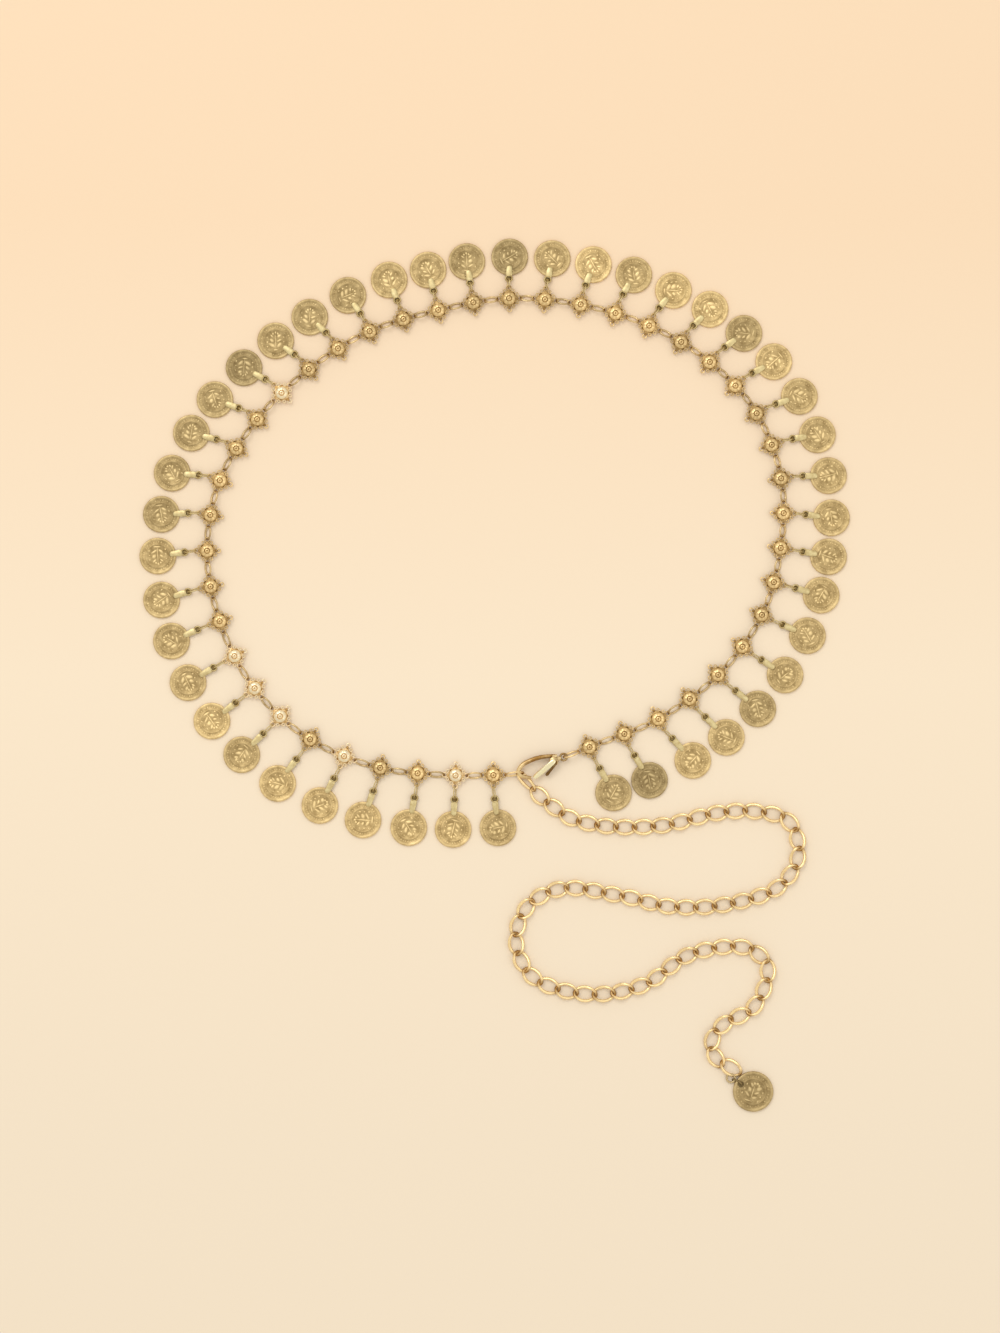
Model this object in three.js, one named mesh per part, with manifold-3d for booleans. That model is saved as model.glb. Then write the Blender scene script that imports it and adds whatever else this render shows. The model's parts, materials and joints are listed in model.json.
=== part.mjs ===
// Chain belt of cast links with coin pendants, laid flat and closed in a loop, with its clasp
// and the long curb chain that adjusts its length. Millimetres, +Z up, worn side up. The clasp is
// on the near side of the loop and +Y points to the far side.
import * as THREE from "three";
import { mergeVertices } from "three/addons/utils/BufferGeometryUtils.js";
import Module from "manifold-3d";

const wasm = await Module();
wasm.setup();

// Driving dimensions: cast link
const LINK_COUNT = 44;
const LINKS_PER_RUN = [6, 5, 6, 5, 6, 5, 6, 5];
const LINK_TIP = 5.95; // centre to the tip of a corner
const LINK_TIP_HALF = 0.85; // half width of a corner's blunt tip
const EYE_AT = 4.6; // centre to the middle of a corner eye
const EYE_HALF = 0.72; // half width of an eye's opening
const EYE_LEVEL = 1.6; // height of the middle of the thin rim above the surface
const RIM_THICK = 0.6;
const BOSS_FOOT_R = 3.1; // the flat that the link rests on
const BOSS_TOP_R = 1.9;
const BOSS_HIGH = 2.9;
const BOSS_SIDES = 6;

// Jump rings
const WIRE = 0.7;
const WIRE_SIDES = 3;
const RING_BENDS = 6;
const RING_HALF = 1.3; // half height of a ring, to the middle of its wire
const BIG_RING_HALF = 1.7; // the two rings that hold the clasp
const BIG_RING_LEVEL = 2.25;
const RING_DRAWN = 0.55; // past the middle of an eye, where a ring is drawn tight on its rim
const RING_CLEAR = 0.05; // the same where a ring passes an eye clear of its rim
const BIG_RING_CLEAR = -0.3;

// Coin pendants
const COIN_R = 7.9;
const COIN_THICK = 1.2;
const COIN_SIDES = 14;
const BAIL_THICK = 0.8;
const BAIL_HEAD_HALF = 1.9; // half width at the loop
const BAIL_TOE_HALF = 1.2; // half width at the tip, on the coin
const SHORTEST_REACH = 18; // link centre to coin centre where a pendant is pushed together
const LONGEST_REACH = 24.5; // where it is drawn out
const LOOP_AT_SHORTEST = 8.4; // link centre to the bail's loop
const LOOP_AT_LONGEST = 10.6;
const BAIL_AT_SHORTEST = 5.8; // loop to the bail's tip
const BAIL_AT_LONGEST = 7.5;

// End coin, on a small ring at the end of the curb chain
const SMALL_RING_AT = [101.7, -174];
const SMALL_RING_R = 1.8;
const SMALL_RING_LEVEL = 1.2;
const SMALL_RING_SIDES = 4;
const SMALL_RING_BENDS = 8;
const END_COIN_R = 8.7;
const END_COIN_THICK = 1.3;
const END_COIN_AT = 12.4; // small ring's middle to the coin's centre
const END_COIN_HEADING = -31; // degrees from +X
const END_RING_FROM = 0.95; // small ring's middle to each end of the coin's own ring
const END_RING_TO = 5.4;
const END_RING_HALF = 1.03;

// Curb chain
const CURB_LINKS = 59;
const CURB_PER_RUN = [20, 20, 19];
const CURB_WIDE = 7.3;
const CURB_WIRE = 1.2;
const CURB_MEET = 0.55; // how far apart the wires' middles are where two links meet end to end
const CURB_FIRST_LONGER = 1.3; // the first link of all reaches onto the ring in the hook
const CURB_SEAM = 0.8; // how much the first link of a later run is shortened, to clear the run before

// Clasp, measured from the middle of its tail hole
const CLASP_AT = [29.4, -35.2];
const CLASP_HEADING = 196.7; // degrees from +X, tail to hook
const CLASP_LEVEL = 2.35;
const HOOK_R = 0.8;
const HOOK_SIDES = 6;
const HOOK_STEPS = 11;
const ARM_LINE = [
  [3.4, -1.5], [6, -2.2], [10, -2.8], [14, -2.7], [18.1, -1.8], [20.4, 0.3], [19.9, 2.4],
  [17.9, 3.7], [15.9, 4.5],
];
const TAIL_R = 1.9;
const TAIL_HOLE_R = 1.05;
const TAIL_THICK = 1.2;
const TAIL_CURVE = 4; // segments to each curve of the tail's outline
const NECK_LONG = 1.6; // between the tail and the cheeks
const NECK_WIDE = 1.8;
const NECK_AT = 2.2;
const HOOK_HOLDS_AT = [18.5, 1.5]; // where the ring lies in the hook
const PIVOT = [4.6, 0.5];
const CHEEK_R = 2.0;
const CHEEK_SIDES = 10;
const CHEEK_HALF = 1.5; // half of the body's thickness at the pivot
const SLOT_HALF = 0.8;
const SLOT_DEEP = 6;
const SLOT_CLEAR = 0.3; // around the lever's eye
const PIN_R = 0.45;
const PIN_SIDES = 6;
const LEVER_THICK = 1.0;
const LEVER_EYE_R = 1.3;
const LEVER_EYE_SIDES = 10;
const LEVER_HOLE_R = 0.8;
const LEVER_HOLE_SIDES = 8;
const LEVER_LONG = 10.6;
const LEVER_HALF = 0.6;
const LEVER_ANGLE = 21.6; // degrees from the clasp's own axis
const TAB_LONG = 6.7;
const TAB_ANGLE = 45;

// The line that the link centres lie on, from the clasp round to the hook's end
const BELT_LINE = [
  [40.6, -30.9], [70.9, -18.4], [96.6, 0.8], [115, 26.2], [123.2, 55.5], [123.2, 85.6],
  [112.2, 114], [91.5, 136.2], [65.3, 151.5], [35.6, 160.4], [5, 162.8], [-25.5, 157.6],
  [-55.1, 148.3], [-81.3, 131.7], [-103.6, 109.8], [-119.4, 83.2], [-124.5, 53.4],
  [-118.9, 22.9], [-104.3, -5.1], [-81.2, -26.8], [-50.6, -39.6], [-17.8, -43.1], [-0.9, -43],
];

// Spacing of the links: they are drawn out near the clasp and pushed together elsewhere
const SPACING = [
  { gaps: 6, pitch: 16.1 },
  { gaps: 9, pitch: 15.1 },
  { gaps: 19, pitch: 15.55 },
  { gaps: 9, pitch: 16.4 },
];

// How the pendants lie: reach in mm from link to coin centre, lean in degrees towards the next link
const PENDANT_LIE = [
  { link: 1, reach: 22.4, lean: 7 },
  { link: 3, reach: 23.5, lean: 14 },
  { link: 5, reach: 22.7, lean: 6 },
  { link: 8, reach: 21.3, lean: 0 },
  { link: 11, reach: 20.7, lean: -9 },
  { link: 14, reach: 19.9, lean: -15 },
  { link: 17, reach: 18.8, lean: -15 },
  { link: 20, reach: 18.1, lean: -7 },
  { link: 23, reach: 18.0, lean: 1 },
  { link: 26, reach: 18.5, lean: 14 },
  { link: 29, reach: 20.5, lean: 19 },
  { link: 31, reach: 21.2, lean: 17 },
  { link: 33, reach: 21.6, lean: 8 },
  { link: 36, reach: 23.2, lean: 3 },
  { link: 39, reach: 23.8, lean: -6 },
  { link: 42, reach: 23.9, lean: -6 },
  { link: 44, reach: 22.9, lean: 6 },
];

// The line that the curb chain was dropped along, from the hook's end to its end coin
const CURB_LINE = [
  [13.6, -46.1], [19.7, -52.5], [25.7, -57.3], [33.1, -61.8], [48.6, -65.1], [72.4, -64.7],
  [95.8, -59.4], [112.2, -58.7], [126.7, -63.1], [130.8, -77.6], [122.6, -91], [100.5, -98.7],
  [76.5, -99.9], [53, -94.9], [28.5, -92.1], [14.2, -99.4], [8.8, -114.4], [16, -130.1],
  [39.4, -137.6], [63.8, -133.7], [84.3, -120.4], [108.5, -117.8], [117.4, -125.6],
  [111.9, -142.8], [98.1, -151.1], [93.4, -158.4], [95.4, -165.4], [101.7, -169.4],
];

const brass = new THREE.MeshStandardMaterial({ color: 0xb8a069, roughness: 0.42, metalness: 0.9 });
const coinBrass = new THREE.MeshStandardMaterial({ color: 0xa8935c, roughness: 0.5, metalness: 0.9 });
const paleGold = new THREE.MeshStandardMaterial({ color: 0xe8c98a, roughness: 0.3, metalness: 0.95 });

// A closed three.js geometry as a solid that can be joined and cut.
function solid(geometry) {
  const bare = geometry.index ? geometry.toNonIndexed() : geometry.clone();
  bare.deleteAttribute("normal");
  bare.deleteAttribute("uv");
  const merged = mergeVertices(bare, 1e-4);
  return new wasm.Manifold(
    new wasm.Mesh({
      numProp: 3,
      vertProperties: new Float32Array(merged.attributes.position.array),
      triVerts: new Uint32Array(merged.index.array),
    }),
  );
}

function join(geometries) {
  return geometries.map(solid).reduce((whole, piece) => whole.add(piece));
}

// The solid back as a geometry with flat shading.
function geometryOf(body) {
  const mesh = body.getMesh();
  const geometry = new THREE.BufferGeometry();
  geometry.setAttribute("position", new THREE.BufferAttribute(mesh.vertProperties, 3));
  geometry.setIndex(new THREE.BufferAttribute(mesh.triVerts, 1));
  const flat = geometry.toNonIndexed();
  flat.computeVertexNormals();
  return flat;
}

// A flat plate of an outline, centred on a height.
function plate(shape, thick, level, curveSegments) {
  const flat = { depth: thick, bevelEnabled: false, curveSegments };
  return new THREE.ExtrudeGeometry(shape, flat).translate(0, 0, level - thick / 2);
}

// A wire ring pulled out to an oval along X, standing on edge, through two points of the X axis.
function wireRing(from, to, half, level, wire = WIRE) {
  const ring = new THREE.TorusGeometry(half, wire / 2, WIRE_SIDES, RING_BENDS);
  const stretch = (to - from) / 2 - half;
  const places = ring.attributes.position;
  for (let i = 0; i < places.count; i++)
    places.setX(i, places.getX(i) + Math.sign(places.getX(i)) * stretch);
  return ring.rotateX(Math.PI / 2).translate((from + to) / 2, 0, level);
}

// Point and heading at a distance along a line laid on the surface.
function line(points) {
  const curve = new THREE.CatmullRomCurve3(points.map(([x, y]) => new THREE.Vector3(x, y, 0)));
  curve.arcLengthDivisions = 2000;
  const long = curve.getLength();
  return {
    long,
    at(distance) {
      const share = THREE.MathUtils.clamp(distance / long, 0, 1);
      const point = curve.getPointAt(share);
      const tangent = curve.getTangentAt(share);
      return { x: point.x, y: point.y, heading: Math.atan2(tangent.y, tangent.x) };
    },
  };
}

// Value of a column at a link, between the rows of the table.
function between(rows, link, column) {
  const next = rows.findIndex((row) => row.link >= link);
  const high = rows[next];
  const low = rows[Math.max(next - 1, 0)];
  const share = high.link === low.link ? 0 : (link - low.link) / (high.link - low.link);
  return THREE.MathUtils.lerp(low[column], high[column], share);
}

function turned(geometry, place) {
  return geometry.rotateZ(place.heading).translate(place.x, place.y, 0);
}

// One cast link: a thin square with blunt corners on a domed boss. Corners are numbered by quarter
// turns from the next link, and an eye is cut in each one that is listed. In the others a jump ring
// of the same run is drawn tight and joined.
function linkPieces(openCorners) {
  const outline = [];
  for (let quarter = 0; quarter < 4; quarter++)
    for (const side of [-LINK_TIP_HALF, LINK_TIP_HALF])
      outline.push(
        new THREE.Vector2(LINK_TIP, side).rotateAround(new THREE.Vector2(), (quarter * Math.PI) / 2),
      );
  const shape = new THREE.Shape(outline);
  for (const quarter of openCorners) {
    const middle = new THREE.Vector2(EYE_AT, 0);
    const corners = [[-1, -1], [-1, 1], [1, 1], [1, -1]].map(([u, v]) =>
      middle.clone().add(new THREE.Vector2(u * EYE_HALF, v * EYE_HALF)),
    );
    const turn = (quarter * Math.PI) / 2;
    corners.forEach((corner) => corner.rotateAround(new THREE.Vector2(), turn));
    shape.holes.push(new THREE.Path(corners));
  }
  const boss = new THREE.CylinderGeometry(BOSS_TOP_R, BOSS_FOOT_R, BOSS_HIGH, BOSS_SIDES);
  return [plate(shape, RIM_THICK, EYE_LEVEL), boss.rotateX(Math.PI / 2).translate(0, 0, BOSS_HIGH / 2)];
}

// A jump ring along the straight line between two eyes, its ends set past the middle of each.
function ringBetween(start, end, half, level, atStart, atEnd) {
  const dx = end.x - start.x;
  const dy = end.y - start.y;
  const place = { x: start.x, y: start.y, heading: Math.atan2(dy, dx) };
  return turned(wireRing(atStart, Math.hypot(dx, dy) - atEnd, half, level), place);
}

function ahead(place, distance) {
  return {
    x: place.x + distance * Math.cos(place.heading),
    y: place.y + distance * Math.sin(place.heading),
    heading: place.heading,
  };
}

// One pendant along +X from its link's centre: jump ring, tapered bail and coin.
function pendant(reach) {
  const slack = (reach - SHORTEST_REACH) / (LONGEST_REACH - SHORTEST_REACH);
  const loop = THREE.MathUtils.lerp(LOOP_AT_SHORTEST, LOOP_AT_LONGEST, slack);
  const tip = loop + THREE.MathUtils.lerp(BAIL_AT_SHORTEST, BAIL_AT_LONGEST, slack);
  const bail = new THREE.Shape([
    new THREE.Vector2(loop - BAIL_HEAD_HALF, -BAIL_TOE_HALF),
    new THREE.Vector2(loop, -BAIL_HEAD_HALF),
    new THREE.Vector2(tip, -BAIL_TOE_HALF),
    new THREE.Vector2(tip, BAIL_TOE_HALF),
    new THREE.Vector2(loop, BAIL_HEAD_HALF),
    new THREE.Vector2(loop - BAIL_HEAD_HALF, BAIL_TOE_HALF),
  ]);
  const coin = new THREE.CylinderGeometry(COIN_R, COIN_R, COIN_THICK, COIN_SIDES);
  return join([
    wireRing(EYE_AT + RING_CLEAR, loop, RING_HALF, EYE_LEVEL),
    plate(bail, BAIL_THICK, EYE_LEVEL - 0.1),
    coin.rotateX(Math.PI / 2).translate(reach, 0, COIN_THICK / 2),
  ]);
}

const belt = new THREE.Group();
const hinges = [];

function addNode(name, body, material, place) {
  const mesh = new THREE.Mesh(geometryOf(body), material);
  mesh.name = name;
  if (place) {
    mesh.position.set(place.x, place.y, place.z ?? 0);
    mesh.rotation.z = place.heading;
  }
  belt.add(mesh);
  return mesh;
}

const two = (number) => String(number).padStart(2, "0");

// Where each link lies
const beltLine = line(BELT_LINE);
const gaps = SPACING.flatMap(({ gaps: count, pitch }) => Array(count).fill(pitch));
const spare = beltLine.long / gaps.reduce((sum, pitch) => sum + pitch, 0);
const links = [beltLine.at(0)];
gaps.reduce((sum, pitch) => {
  links.push(beltLine.at((sum + pitch) * spare));
  return sum + pitch;
}, 0);

// Clasp
const clasp = {
  x: CLASP_AT[0],
  y: CLASP_AT[1],
  heading: THREE.MathUtils.degToRad(CLASP_HEADING),
};

// A round piece standing on the pivot.
function onPivot(radius, thick, sides) {
  const round = new THREE.CylinderGeometry(radius, radius, thick, sides);
  return round.rotateX(Math.PI / 2).translate(...PIVOT, CLASP_LEVEL);
}

function claspBody() {
  const arm = new THREE.CatmullRomCurve3(
    ARM_LINE.map(([u, v]) => new THREE.Vector3(u, v, CLASP_LEVEL)),
  );
  const section = new THREE.Shape(
    Array.from({ length: HOOK_SIDES }, (_, i) => {
      const angle = (i * 2 * Math.PI) / HOOK_SIDES;
      return new THREE.Vector2(HOOK_R * Math.cos(angle), HOOK_R * Math.sin(angle));
    }),
  );
  const hook = new THREE.ExtrudeGeometry(section, { steps: HOOK_STEPS, extrudePath: arm });
  const tail = new THREE.Shape().absarc(0, 0, TAIL_R, 0, 2 * Math.PI);
  tail.holes.push(new THREE.Path().absarc(0, 0, TAIL_HOLE_R, 0, 2 * Math.PI));
  const neck = new THREE.BoxGeometry(NECK_LONG, NECK_WIDE, TAIL_THICK);
  const cheeks = onPivot(CHEEK_R, 2 * CHEEK_HALF, CHEEK_SIDES);
  const slotMiddle = SLOT_DEEP / 2 - LEVER_EYE_R - SLOT_CLEAR;
  const slot = new THREE.BoxGeometry(SLOT_DEEP, SLOT_DEEP, 2 * SLOT_HALF).translate(
    PIVOT[0] + slotMiddle,
    PIVOT[1] + slotMiddle,
    CLASP_LEVEL,
  );
  const pin = onPivot(PIN_R, 2 * CHEEK_HALF, PIN_SIDES);
  return join([cheeks, neck.translate(NECK_AT, 0, CLASP_LEVEL)])
    .subtract(solid(slot))
    .add(join([hook, pin, plate(tail, TAIL_THICK, CLASP_LEVEL, TAIL_CURVE)]));
}

// The sprung lever that closes the hook, with its thumb tab
function claspLever() {
  const arm = (long, angle) =>
    new THREE.BoxGeometry(long, 2 * LEVER_HALF, LEVER_THICK)
      .translate(long / 2, 0, 0)
      .rotateZ(THREE.MathUtils.degToRad(angle))
      .translate(...PIVOT, CLASP_LEVEL);
  const eye = onPivot(LEVER_EYE_R, LEVER_THICK, LEVER_EYE_SIDES);
  const hole = onPivot(LEVER_HOLE_R, 2 * LEVER_THICK, LEVER_HOLE_SIDES);
  return join([eye, arm(LEVER_LONG, LEVER_ANGLE), arm(TAB_LONG, TAB_ANGLE)]).subtract(solid(hole));
}

addNode("clasp_body", claspBody(), paleGold, clasp);
addNode("clasp_lever", claspLever(), paleGold, clasp);
const pivot = new THREE.Vector3(...PIVOT, CLASP_LEVEL)
  .applyAxisAngle(new THREE.Vector3(0, 0, 1), clasp.heading)
  .add(new THREE.Vector3(clasp.x, clasp.y, 0));
hinges.push({ name: "clasp_lever", point: pivot, axis: new THREE.Vector3(0, 0, -1) });

// Runs of cast links, each link but the last of all with the jump ring after it
const [FRONT_CORNER, INNER_CORNER, BACK_CORNER, OUTER_CORNER] = [0, 1, 2, 3];
let first = 0;
LINKS_PER_RUN.forEach((count, run) => {
  const pieces = [];
  for (let i = first; i < first + count; i++) {
    const open = [INNER_CORNER, OUTER_CORNER];
    if (run > 0 && i === first) open.push(BACK_CORNER);
    if (i + 1 === LINK_COUNT) open.push(FRONT_CORNER);
    linkPieces(open).forEach((piece) => pieces.push(turned(piece, links[i])));
    if (i + 1 < LINK_COUNT) {
      const near = ahead(links[i], EYE_AT);
      const far = ahead(links[i + 1], -EYE_AT);
      const atFar = i + 1 < first + count ? RING_DRAWN : RING_CLEAR;
      pieces.push(ringBetween(near, far, RING_HALF, EYE_LEVEL, RING_DRAWN, atFar));
    }
  }
  if (run === 0) {
    const near = ahead(links[0], -EYE_AT);
    pieces.push(ringBetween(near, clasp, BIG_RING_HALF, BIG_RING_LEVEL, RING_DRAWN, RING_CLEAR));
  }
  addNode("link_run_" + two(run + 1), join(pieces), brass);
  first += count;
});

// Pendants, one on each link's outer eye
links.forEach((link, i) => {
  const reach = between(PENDANT_LIE, i + 1, "reach");
  const lean = THREE.MathUtils.degToRad(between(PENDANT_LIE, i + 1, "lean"));
  const outward = link.heading - Math.PI / 2;
  const eyeMiddle = (EYE_AT + EYE_HALF + LINK_TIP) / 2;
  const bar = ahead({ ...link, heading: outward }, eyeMiddle);
  const heading = outward + lean;
  const start = ahead({ ...bar, heading }, -eyeMiddle);
  addNode("coin_pendant_" + two(i + 1), pendant(reach), coinBrass, start);
  hinges.push({
    name: "coin_pendant_" + two(i + 1),
    point: new THREE.Vector3(bar.x, bar.y, EYE_LEVEL),
    axis: new THREE.Vector3(Math.sin(heading), -Math.cos(heading), 0),
  });
});

// Curb chain in three runs, with the ring in the hook at one end and a small ring at the other
const curbLine = line(CURB_LINE);
const curbPitch = curbLine.long / (CURB_LINKS - 1);
const curbHalf = (CURB_WIDE - CURB_WIRE) / 2;
const curbReach = (curbPitch - CURB_MEET) / 2;

function curbLink(place, from, to) {
  const link = wireRing(from, to, curbHalf, 0, CURB_WIRE).rotateX(Math.PI / 2);
  return turned(link.translate(0, 0, CURB_WIRE / 2), place);
}

const inHook = new THREE.Vector2(...HOOK_HOLDS_AT)
  .rotateAround(new THREE.Vector2(), clasp.heading)
  .add(new THREE.Vector2(clasp.x, clasp.y));
let firstCurb = 0;
CURB_PER_RUN.forEach((count, run) => {
  const pieces = [];
  for (let i = firstCurb; i < firstCurb + count; i++) {
    let back = curbReach;
    if (i === 0) back += CURB_FIRST_LONGER;
    else if (i === firstCurb) back -= CURB_SEAM;
    pieces.push(curbLink(curbLine.at(i * curbPitch), -back, curbReach));
  }
  if (run === 0) {
    const near = ahead(links[LINK_COUNT - 1], EYE_AT);
    pieces.push(ringBetween(near, inHook, BIG_RING_HALF, BIG_RING_LEVEL, BIG_RING_CLEAR, 0));
  }
  if (run === CURB_PER_RUN.length - 1) {
    const small = new THREE.TorusGeometry(SMALL_RING_R, WIRE / 2, SMALL_RING_SIDES, SMALL_RING_BENDS);
    pieces.push(small.translate(...SMALL_RING_AT, SMALL_RING_LEVEL));
  }
  addNode("curb_chain_" + (run + 1), join(pieces), paleGold);
  firstCurb += count;
});

// End coin, hanging by its own ring from the small ring
const endHeading = THREE.MathUtils.degToRad(END_COIN_HEADING);
const endPlace = { x: SMALL_RING_AT[0], y: SMALL_RING_AT[1], heading: endHeading };
const endDisc = new THREE.CylinderGeometry(END_COIN_R, END_COIN_R, END_COIN_THICK, COIN_SIDES);
const endCoin = join([
  endDisc.rotateX(Math.PI / 2).translate(END_COIN_AT, 0, END_COIN_THICK / 2),
  wireRing(END_RING_FROM, END_RING_TO, END_RING_HALF, SMALL_RING_LEVEL),
]);
addNode("end_coin", endCoin, coinBrass, endPlace);
const endBar = ahead(endPlace, SMALL_RING_R);
hinges.push({
  name: "end_coin",
  point: new THREE.Vector3(endBar.x, endBar.y, SMALL_RING_LEVEL),
  axis: new THREE.Vector3(Math.sin(endHeading), -Math.cos(endHeading), 0),
});

// The group stands on the surface, centred on its own outline
const chainBelt = new THREE.Group();
chainBelt.add(belt);
const box = new THREE.Box3().setFromObject(chainBelt, true);
const middle = box.getCenter(new THREE.Vector3());
belt.position.set(-middle.x, -middle.y, -box.min.z);
hinges.forEach(({ point }) => point.add(belt.position));

export { hinges };
export default chainBelt;
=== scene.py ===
import json
import math
import random

import bmesh
import bpy
from mathutils import Matrix, Vector


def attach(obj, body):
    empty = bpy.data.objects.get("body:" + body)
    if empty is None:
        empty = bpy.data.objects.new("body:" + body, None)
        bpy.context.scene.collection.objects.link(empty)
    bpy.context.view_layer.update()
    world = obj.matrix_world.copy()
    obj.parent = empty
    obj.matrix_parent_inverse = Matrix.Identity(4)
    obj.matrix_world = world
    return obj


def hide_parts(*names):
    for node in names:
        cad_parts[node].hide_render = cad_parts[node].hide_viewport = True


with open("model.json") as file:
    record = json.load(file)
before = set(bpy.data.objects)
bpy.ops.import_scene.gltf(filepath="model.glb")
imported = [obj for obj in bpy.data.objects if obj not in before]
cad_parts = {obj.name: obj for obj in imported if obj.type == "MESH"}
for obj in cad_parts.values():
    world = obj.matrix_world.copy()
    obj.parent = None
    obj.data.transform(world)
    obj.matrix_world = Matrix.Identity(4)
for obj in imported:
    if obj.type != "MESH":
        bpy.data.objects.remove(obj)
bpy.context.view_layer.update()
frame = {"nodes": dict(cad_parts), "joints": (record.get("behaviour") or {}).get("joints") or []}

# Everything is in metres. The belt lies on the surface, worn side up.
# A profile lists (radius, height). A rod lists (x, y, z), half width, half height.
# The wear-and-shade value is 0 in a dark recess and in painted shade, and 1 on a rubbed crest and in
# painted light. Two such values are the least and the most.

# How finely shapes are made, and from which angle on an edge looks sharp
MERGE_WITHIN = 1e-7
LINE_STEPS = 24
SHARP = math.radians(50)

# Cast link
LINKS_PER_RUN = [6, 5, 6, 5, 6, 5, 6, 5]
EYE_LEVEL = 0.0016
ROSETTE = [
    (0, 0), (0.00275, 0), (0.00295, 0.0002), (0.0031, 0.0009), (0.0034, 0.00115),
    (0.0036, 0.00145), (0.0035, 0.0017), (0.00335, 0.0018), (0.0032, 0.0017), (0.00305, 0.0014),
    (0.0029, 0.00145), (0.0028, 0.00185), (0.0026, 0.00225), (0.0022, 0.00255), (0.0017, 0.00275),
    (0.00135, 0.00278), (0.0012, 0.0025), (0.00105, 0.00248), (0.0009, 0.0028), (0.0007, 0.00298),
    (0.0004, 0.00294), (0.00025, 0.0027), (0, 0.00262),
]
ROSETTE_STEPS = 40
PETALS = 8
PETAL_DIP = 0.0002
DOME_FROM = 0.00145
DOME_TO = 0.00283
GROOVE_TO = 0.00322
INNER_GROOVE = (0.00095, 0.0013)
PIT_TO = 0.0003
PIT_WORN = 0.12
GROOVE_WORN = 0.05
UNDERSIDE_WORN = 0.15
EDGE_WORN = 0.45
PETAL_WORN = 0.95
VALLEY_WORN = 0.67
LOOP_R = 0.0006
LOOP_GAUGE = 0.00048
LOOP_LEVEL = 0.0017
LOOP_STEPS = 12
LOOP_SIDES = 6
LOOP_WORN = (0.1, 0.9)
LOOPS_AT = 0.00385
LOOP_ANGLES = [math.radians(27), math.radians(63)]
CORNER_EYE_AT = 0.00468
CORNER_EYE_R = 0.001
CORNER_EYE_WIRE = 0.00056
CORNER_EYE_WORN = (0.12, 0.62)
EYE_STEPS = 16
EYE_SIDES = 7
INNER_EYE_AT = 0.0049
INNER_EYE_R = 0.0008
INNER_EYE_WORN = (0.5, 1.0)
INNER_QUARTER = 1
# Painted shade: a small dark ball by the inner eye stands for the shadow in its hole.
SHADE_BALL_AT = 0.00405
SHADE_BALL_R = 0.0006
SHADE_BALL_LEVEL = 0.0019
PLATE_TIP = 0.0042
PLATE_THICK = 0.0007
PLATE_WORN = 0.1
SILVERY_LINKS = [28, 36, 37, 38, 40, 43]
SILVERY_TONE = 1.5
LINK_TONES = (0.88, 1.08)

# Jump rings
RING_WIRE = 0.00082
RING_WORN = 0.75
RING_TONES = (0.65, 0.88)
RING_HOLDS_AT = 0.00495
RING_HALF_WIDE = 0.00165
RING_TILT = math.radians(44)
BIG_RING_HALF = 0.0017
BIG_RING_LEVEL = 0.00225
BIG_RING_TILT = math.radians(25)

# Struck coins, with the design on their faces in shares of the radius
COIN_R = 0.0079
COIN_THICK = 0.0012
COIN_RELIEF = 0.00022
COIN_STEPS = 64
COIN_KINDS = 4
FIELD_STEP = 0.3
INNER_RING = (0.61, 0.635, 0.66)
INNER_RING_LIFT = 0.6
RIM_FROM = 0.86
RIM = [(0.89, 0.98), (0.93, 1), (0.975, 0.96), (1, 0.6)]
BETWEEN = 0.005
FIELD_WORN = 0.2
INNER_RING_WORN = 0.6
BAND_WORN = 0.35
RIM_WORN = 0.5
BAND_STROKES = 36
BAND_AT = 0.765
BAND_LONG = 0.065
BAND_SHORT = 0.03
BAND_WIDE = 0.026
STEM = (0, -0.04, 0.035, 0.44)
FOOT = (0, -0.5, 0.22, 0.045)
LEAF_PAIRS = 3
LEAF_FIRST = -0.24
LEAF_APART = 0.25
LEAF_OUT = 0.2
LEAF_LONG = 0.19
LEAF_SHRINK = 0.025
LEAF_WIDE = 0.085
LEAF_LEAN = math.radians(38)
BERRY_OUT = 0.45
BERRY_DROP = 0.08
BERRY_SIZE = (0.05, 0.06)
BUD_OUT = 0.13
BUD_UP = 0.44
BUD_DROP = 0.06
BUD_SIZE = (0.07, 0.08)
STROKE_TURN = 0.25
STROKE_LONG = (0.75, 1.15)
STROKE_WIDE = (0.7, 1.3)
STROKE_HIGH = (0.35, 1)
STROKE_WORN = (0.3, 1.0)
COIN_TONES = (0.97, 1.03)
DARK_COINS = {2, 21, 28}
DARK_TONE = 0.74
DULL_COINS = {1, 5, 15, 22, 25, 26, 27, 29, 30, 31, 32}
DULL_TONE = 0.88
BRIGHT_COINS = {3, 14, 16, 17, 19, 37, 39, 40, 41, 42, 43}
BRIGHT_TONE = 1.14

# Pendants: ring, eye and the bail's two leaves, longer where the pendant reaches further
SHORTEST_REACH = 0.018
LONGEST_REACH = 0.0245
EYE_AT_SHORTEST = 0.0084
EYE_AT_LONGEST = 0.0106
BAIL_AT_SHORTEST = 0.0058
BAIL_AT_LONGEST = 0.0075
HINGE_AT = 0.005635
PENDANT_RING_FROM = 0.00465
PENDANT_RING_HALF = 0.0013
PENDANT_WIRE = 0.00054
PENDANT_RING_TILT = math.radians(70)
PENDANT_RING_WORN = 0.55
PENDANT_RING_TONE = 0.9
BAIL_EYE_HALF_LONG = 0.0013
BAIL_EYE_HALF_WIDE = 0.0014
BAIL_EYE_WIRE = 0.00072
BAIL_EYE_AHEAD = 0.0003
BAIL_EYE_LEVEL = 0.0015
BAIL_EYE_WORN = (0.0, 0.45)
BAIL_EYE_TONE = 0.85
LEAVES_FROM = 0.0012
BAIL_SIDES = 14
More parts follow.
